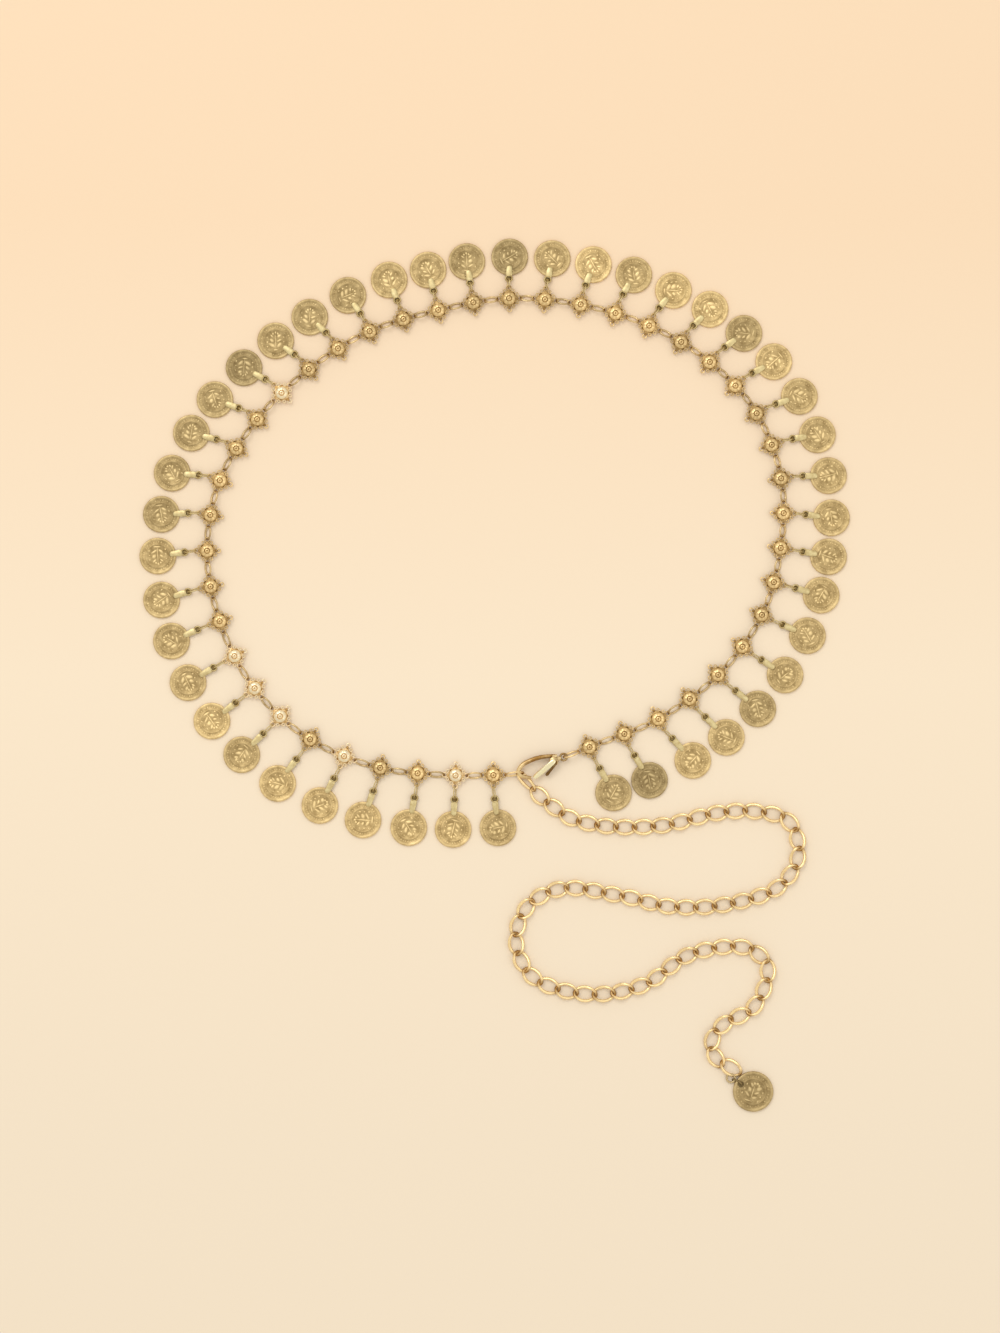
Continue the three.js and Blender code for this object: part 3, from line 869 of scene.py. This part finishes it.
def add_jump_rings(links, clasp):
    """The rings from link to link, and the bigger ones at the clasp's tail and in its hook."""
    in_hook = clasp @ Vector((*HOOK_HOLDS_AT, 0))
    bm = blank()
    for (_, near), (_, far) in zip(links, links[1:]):
        tone = chance.uniform(*RING_TONES)
        start = ahead(near, RING_HOLDS_AT)
        end = ahead(far, -RING_HOLDS_AT)
        laid_ring(bm, start, end, RING_HALF_WIDE, EYE_LEVEL, RING_TILT, tone)
    for start, end in (
        (ahead(links[0][1], -RING_HOLDS_AT), clasp.translation),
        (ahead(links[-1][1], RING_HOLDS_AT), in_hook),
    ):
        laid_ring(bm, start, end, BIG_RING_HALF, BIG_RING_LEVEL, BIG_RING_TILT)
    piece(bm, "jump_rings", "belt", "cast_brass", pale_gold)


def hook_worn(co):
    """Dark along the back of the clasp and bright where the ring rubs in the hook."""
    share = max(0.0, co.x - HOOK_DARK_TO) / (HOOK_BRIGHT_FROM - HOOK_DARK_TO)
    return HOOK_DARK + (HOOK_BRIGHT - HOOK_DARK) * share


def hook():
    """The clasp's hook, thickest in its middle and finer at its tip."""
    places, _ = along_line(HOOK_LINE, HOOK_STATIONS)
    stations = []
    for i, place in enumerate(places):
        share = i / (HOOK_STATIONS - 1)
        half = HOOK_HALF + HOOK_SWELL * math.sin(math.pi * share)
        if share > HOOK_TIP_FROM:
            half *= HOOK_TIP_SHARE
        stations.append((place.translation, half, half * HOOK_FLATTER))
    return paint_wear_and_shade(rod(stations, HOOK_SIDES), hook_worn)


def clasp_frame(clasp):
    """The clasp's body: hook, tail eye, neck, cheeks with the rivet's heads, and spine."""
    bm = blank()
    middle = move(0, 0, CLASP_LEVEL)
    put_once(bm, "hook", hook(), middle, HOOK_TONE)
    tail = wire_ring(TAIL_R, TAIL_R, TAIL_WIRE, TAIL_STEPS, TAIL_SIDES)
    put_once(bm, "tail", darker_below(tail, *TAIL_WORN), middle, TAIL_TONE)
    put_once(bm, "neck", darker_below(rod(NECK)), middle, NECK_TONE)
    for side in (0, math.pi):
        cheek = darker_below(lathe(CHEEK, CHEEK_STEPS), *CHEEK_WORN)
        put_once(bm, "cheek", cheek, move(*CLASP_PIVOT, CLASP_LEVEL) @ turn(side, "X"), CHEEK_TONE)
    put_once(bm, "spine", darker_below(rod(SPINE)), middle, CHEEK_TONE)
    bmesh.ops.transform(bm, matrix=clasp, verts=bm.verts)
    return bm


def clasp_arm(clasp):
    """The sprung lever: a gate whose upper leaf lies over the cheek, painted pale as a highlight, and a
    thumb tab beside it, painted dark as shade.
    """
    bm = blank()
    pivot = move(*CLASP_PIVOT, CLASP_LEVEL)
    put_once(bm, "lever_eye", darker_below(lathe(LEVER_EYE, LEVER_EYE_STEPS)), pivot, LEVER_EYE_TONE)
    put_once(bm, "gate", darker_below(rod(GATE), *GATE_WORN), pivot @ turn(LEVER_ANGLE), GATE_TONE)
    # The gate's upper leaf carries a painted highlight.
    leaf = darker_below(rod(GATE_LEAF), *GATE_LEAF_HIGHLIGHT)
    put_once(bm, "gate_leaf", leaf, pivot @ turn(LEVER_ANGLE + GATE_LEAF_ASKEW), GATE_LEAF_HIGHLIGHT_TONE)
    # The thumb tab carries painted shade.
    put_once(bm, "thumb_tab", darker_below(rod(THUMB_TAB), *THUMB_TAB_SHADE), pivot, THUMB_TAB_SHADE_TONE)
    bmesh.ops.transform(bm, matrix=clasp, verts=bm.verts)
    return bm


def bail(reach, lean):
    """Jump ring, eye and the two leaves that grip the coin, along +X from the link's centre, with painted
    shade on the back leaf.
    """
    slack = (reach - SHORTEST_REACH) / (LONGEST_REACH - SHORTEST_REACH)
    eye_at = EYE_AT_SHORTEST + slack * (EYE_AT_LONGEST - EYE_AT_SHORTEST)
    tip = eye_at + BAIL_AT_SHORTEST + slack * (BAIL_AT_LONGEST - BAIL_AT_SHORTEST)
    leaf_from = eye_at + LEAVES_FROM
    leaf_long = tip - leaf_from
    bm = blank()
    ring = wire_ring((eye_at - PENDANT_RING_FROM) / 2, PENDANT_RING_HALF, PENDANT_WIRE)
    ring_place = move((eye_at + PENDANT_RING_FROM) / 2, 0, EYE_LEVEL) @ turn(lean, "X")
    put_once(bm, "pendant_ring", wear_and_shade_evenly(ring, PENDANT_RING_WORN), ring_place, PENDANT_RING_TONE)
    eye = darker_below(wire_ring(BAIL_EYE_HALF_LONG, BAIL_EYE_HALF_WIDE, BAIL_EYE_WIRE), *BAIL_EYE_WORN)
    put_once(bm, "bail_eye", eye, move(eye_at + BAIL_EYE_AHEAD, 0, BAIL_EYE_LEVEL), BAIL_EYE_TONE)
    front = rod([
        ((leaf_from + leaf_long * share, 0, FRONT_LEAF_LEVEL), half_wide, half_high)
        for share, half_wide, half_high in FRONT_LEAF
    ], BAIL_SIDES)
    put_once(bm, "front_leaf", darker_below(front, *FRONT_LEAF_WORN), Matrix(), FRONT_LEAF_TONE)
    back = rod([
        ((leaf_from + leaf_long * share, 0, level), half_wide, BACK_LEAF_HALF_THICK)
        for share, half_wide, level in BACK_LEAF
    ], BAIL_SIDES)
    # Painted shade: the head under the eye is dark, for the shadow seen through the eye's hole.
    paint_wear_and_shade(back, lambda co: 0.0 if co.x < leaf_from else BACK_LEAF_WORN)
    put_once(bm, "back_leaf", back, Matrix(), BACK_LEAF_SHADE_TONE)
    return bm


def add_pendants(pendants):
    """A coin and its bail for each pendant."""
    coin_meshes = [struck_coin(COIN_R, COIN_THICK, COIN_RELIEF) for _ in range(COIN_KINDS)]
    for number, (name, place, reach, lean) in enumerate(pendants, 1):
        tone = chance.uniform(*COIN_TONES)
        if number in DARK_COINS:
            tone *= DARK_TONE
        if number in DULL_COINS:
            tone *= DULL_TONE
        if number in BRIGHT_COINS:
            tone *= BRIGHT_TONE
        bm = blank()
        spun = turn(chance.uniform(-math.pi, math.pi))
        put(bm, chance.choice(coin_meshes), place @ move(reach, 0, COIN_THICK / 2) @ spun, tone)
        piece(bm, f"coin_{number:02d}", name, "coin_brass", coin_brass, name)
        bm = bail(reach, lean)
        bmesh.ops.transform(bm, matrix=place, verts=bm.verts)
        piece(bm, f"bail_{number:02d}", name, "pale_gold", pale_brass)
    for mesh in coin_meshes:
        bpy.data.meshes.remove(mesh)


def curb_link(pitch, half_wide, longer=0.0):
    """One oval link, twisted so that it passes through its neighbours and lies flat with them."""
    half_long = (pitch + CURB_WIRE + longer) / 2 + CURB_SLACK
    bm = wire_ring(half_long, half_wide, CURB_WIRE, CURB_STEPS)
    for vert in bm.verts:
        vert.co.rotate(turn(CURB_TWIST * vert.co.x / half_long, "X"))

    # Dark near the ends as painted shade at the crossings, a little lighter on the upper side as painted
    # light.
    def curb_worn(co):
        near_end = max(0.0, abs(co.x) / half_long - CURB_SHADE_FROM)
        return 1.0 + CURB_TOP_LIGHT * co.z / CURB_WIRE - CURB_CROSSING_SHADE * near_end

    return closed(paint_wear_and_shade(bm, curb_worn), "curb_link")


def add_curb_chain(centred):
    """The long chain that hangs from the hook's ring, in its three runs."""
    places, long = along_line(CURB_LINE, sum(CURB_PER_RUN))
    pitch = long / (sum(CURB_PER_RUN) - 1)
    plain_link = curb_link(pitch, (CURB_WIDE - CURB_WIRE) / 2)
    first_link = curb_link(pitch, CURB_FIRST_HALF_WIDE, CURB_FIRST_LONGER)
    at = 0
    for run, count in enumerate(CURB_PER_RUN, 1):
        bm = blank()
        for i in range(at, at + count):
            place = move(centred.x, centred.y, CURB_LEVEL) @ places[i]
            if i == 0:
                put(bm, first_link, place @ move(-CURB_FIRST_LONGER / 2, 0))
            else:
                put(bm, plain_link, place, chance.uniform(*CURB_TONES))
        if run == len(CURB_PER_RUN):
            small = darker_below(wire_ring(SMALL_RING_R, SMALL_RING_R, RING_WIRE))
            small_place = move(*(SMALL_RING_AT + centred).xy, SMALL_RING_LEVEL)
            put_once(bm, "small_ring", small, small_place, SMALL_RING_TONE)
        piece(bm, f"curb_links_{run}", "belt", "pale_gold", pale_gold, f"curb_chain_{run}")
        at += count
    bpy.data.meshes.remove(plain_link)
    bpy.data.meshes.remove(first_link)


def add_end_coin(centred):
    """The bigger coin at the chain's end, and its ring through a punched hole, drawn as a dark plug of
    painted shade.
    """
    centre = middle_on_floor(frame["nodes"]["end_coin"])
    coin = struck_coin(END_COIN_R, END_COIN_THICK, END_COIN_RELIEF)
    bm = blank()
    put(bm, coin, move(centre.x, centre.y, END_COIN_THICK / 2) @ turn(END_HEADING), END_COIN_TONE)
    piece(bm, "end_coin_disc", "end_coin", "coin_brass", coin_brass, "end_coin")
    bpy.data.meshes.remove(coin)

    start = Matrix.Translation(SMALL_RING_AT + centred) @ turn(END_HEADING)
    bm = blank()
    ring = wire_ring((END_RING_TO - END_RING_FROM) / 2, END_RING_HALF, END_RING_WIRE)
    ring_place = start @ move((END_RING_TO + END_RING_FROM) / 2, 0, SMALL_RING_LEVEL)
    put_once(bm, "end_ring", wear_and_shade_evenly(ring, 0.0), ring_place @ turn(END_RING_TILT, "X"), END_RING_TONE)
    # Painted shade: a dark plug stands for the shaded punched hole.
    hole_shade = wear_and_shade_evenly(lathe(HOLE_SHADE_PLUG, HOLE_SHADE_PLUG_STEPS), 0.0)
    put_once(bm, "shaded_hole_plug", hole_shade, start @ move(END_HOLE_AT, 0, HOLE_SHADE_PLUG_LEVEL), HOLE_SHADE_PLUG_TONE)
    piece(bm, "end_coin_ring", "end_coin", "coin_brass", coin_brass)


def pale_paper():
    """Plain pale paper with painted light: peach at the far side and cream at the near side."""
    material = bpy.data.materials.new("pale_paper")
    material.use_nodes = True
    tree = material.node_tree
    shader = tree.nodes["Principled BSDF"]
    shader.inputs["Roughness"].default_value = PAPER_ROUGHNESS
    shader.inputs["Specular IOR Level"].default_value = PAPER_SHINE
    where = tree.nodes.new("ShaderNodeTexCoord")
    parts = tree.nodes.new("ShaderNodeSeparateXYZ")
    tree.links.new(where.outputs["Object"], parts.inputs["Vector"])
    colour = tree.nodes.new("ShaderNodeValToRGB")
    colour.color_ramp.elements[0].color = PAPER_NEAR
    colour.color_ramp.elements[1].color = PAPER_FAR
    colour.color_ramp.elements.new(0.5).color = PAPER_MIDDLE
    far = ranged(tree, parts.outputs["Y"], (-PAPER_FADES_OVER, PAPER_FADES_OVER))
    tree.links.new(far, colour.inputs["Fac"])
    tree.links.new(colour.outputs["Color"], shader.inputs["Base Color"])
    return material


def add_floor():
    """The sheet of paper that the belt lies on."""
    bm = bmesh.new()
    bmesh.ops.create_grid(bm, x_segments=1, y_segments=1, size=PAPER_HALF)
    mesh = bpy.data.meshes.new("floor")
    bm.to_mesh(mesh)
    bm.free()
    mesh.materials.append(pale_paper())
    floor = bpy.data.objects.new("floor", mesh)
    bpy.context.scene.collection.objects.link(floor)


def add_studio():
    """Soft light from all round."""
    world = bpy.data.worlds.new("studio")
    bpy.context.scene.world = world
    world.use_nodes = True
    background = world.node_tree.nodes["Background"]
    background.inputs["Color"].default_value = STUDIO_COLOUR
    background.inputs["Strength"].default_value = STUDIO_STRENGTH


def soft_light(name, at, size, watts):
    """A soft square light that shines at the middle of the belt."""
    light = bpy.data.lights.new(name, "AREA")
    light.size = size
    light.energy = watts
    lamp = bpy.data.objects.new(name, light)
    lamp.location = at
    lamp.rotation_mode = "QUATERNION"
    lamp.rotation_quaternion = (-Vector(at)).to_track_quat("-Z", "Y")
    bpy.context.scene.collection.objects.link(lamp)


def add_camera():
    """The camera, straight above the middle of the picture."""
    data = bpy.data.cameras.new("camera")
    data.sensor_width = SENSOR_WIDE
    picture_long = PICTURE_PIXELS[1] * MM_PER_PIXEL / 1000
    data.lens = SENSOR_WIDE * CAMERA_HIGH / picture_long
    camera = bpy.data.objects.new("camera", data)
    camera.location = PICTURE_MIDDLE + Vector((0, 0, CAMERA_HIGH))
    bpy.context.scene.collection.objects.link(camera)
    bpy.context.scene.camera = camera
    bpy.context.scene.view_settings.view_transform = "Standard"


pivot_at = hinge_of("clasp_lever")
clasp = move(pivot_at.x, pivot_at.y) @ turn(CLASP_HEADING) @ move(-CLASP_PIVOT[0], -CLASP_PIVOT[1])

# The curb chain's line was drawn before the belt was centred, so it is moved as its end ring was
end_along = Vector((math.cos(END_HEADING), math.sin(END_HEADING), 0))
centred = (hinge_of("end_coin") - SMALL_RING_AT - SMALL_RING_R * end_along).xy.to_3d()

links, pendants = lay_out()
add_links(links)
add_jump_rings(links, clasp)
piece(clasp_frame(clasp), "clasp_frame", "belt", "pale_gold", pale_gold, "clasp_body")
piece(clasp_arm(clasp), "clasp_arm", "clasp_lever", "pale_gold", pale_gold, "clasp_lever")
add_pendants(pendants)
add_curb_chain(centred)
add_end_coin(centred)

add_floor()
add_studio()
soft_light("key_light", at=(-0.5, 0.9, 1.5), size=0.9, watts=8)
soft_light("fill_light", at=(1.2, -0.3, 1.6), size=1.2, watts=3)
add_camera()
